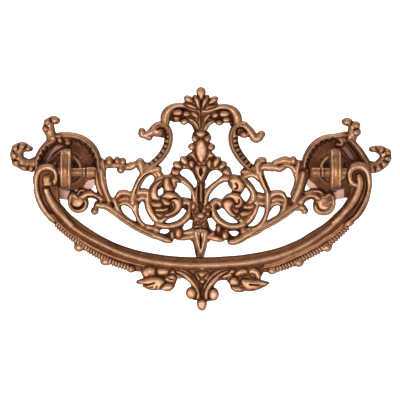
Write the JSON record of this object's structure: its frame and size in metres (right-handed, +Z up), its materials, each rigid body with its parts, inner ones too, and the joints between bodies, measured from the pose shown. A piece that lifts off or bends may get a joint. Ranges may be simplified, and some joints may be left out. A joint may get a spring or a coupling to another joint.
{
  "type": "drawer pull",
  "caption": "Cast openwork drawer pull: pierced scroll backplate on eye bolts with washers and nuts, and a drop bail that swings on pins in the eyes.",
  "frame": {"origin": "midway between the two stud axes, in the plane of the washers' backs, which is the drawer's face", "axes": "+X to the right along the pull, +Y into the drawer front along the studs, +Z up; the ornamented front faces -Y"},
  "size_m": [0.1273, 0.048, 0.0739],
  "materials": {
    "antique_brass": "antique copper-brown patina, rubbed bright on the high points",
    "antique_brass_bail": "antique copper-brown patina, rubbed bright on the ridges",
    "eye_bolt_brass": "antique copper-brown patina, worn",
    "washer_copper": "matte pinkish copper",
    "nut_brass": "dull turned brass"
  },
  "bodies": {
    "mount": {"backplate": "antique_brass", "eye_bolt_left": "eye_bolt_brass", "eye_bolt_right": "eye_bolt_brass", "washer_left": "washer_copper", "washer_right": "washer_copper", "nut_left": "nut_brass", "nut_right": "nut_brass"},
    "bail": {"bail": "antique_brass_bail"}
  },
  "joints": [
    {"name": "bail_swing", "type": "hinge", "parent": "mount", "child": "bail", "pos_m": [0, -0.0107, -0.00083], "axis": [-1, 0, 0], "range_deg": [-5, 180]}
  ]
}
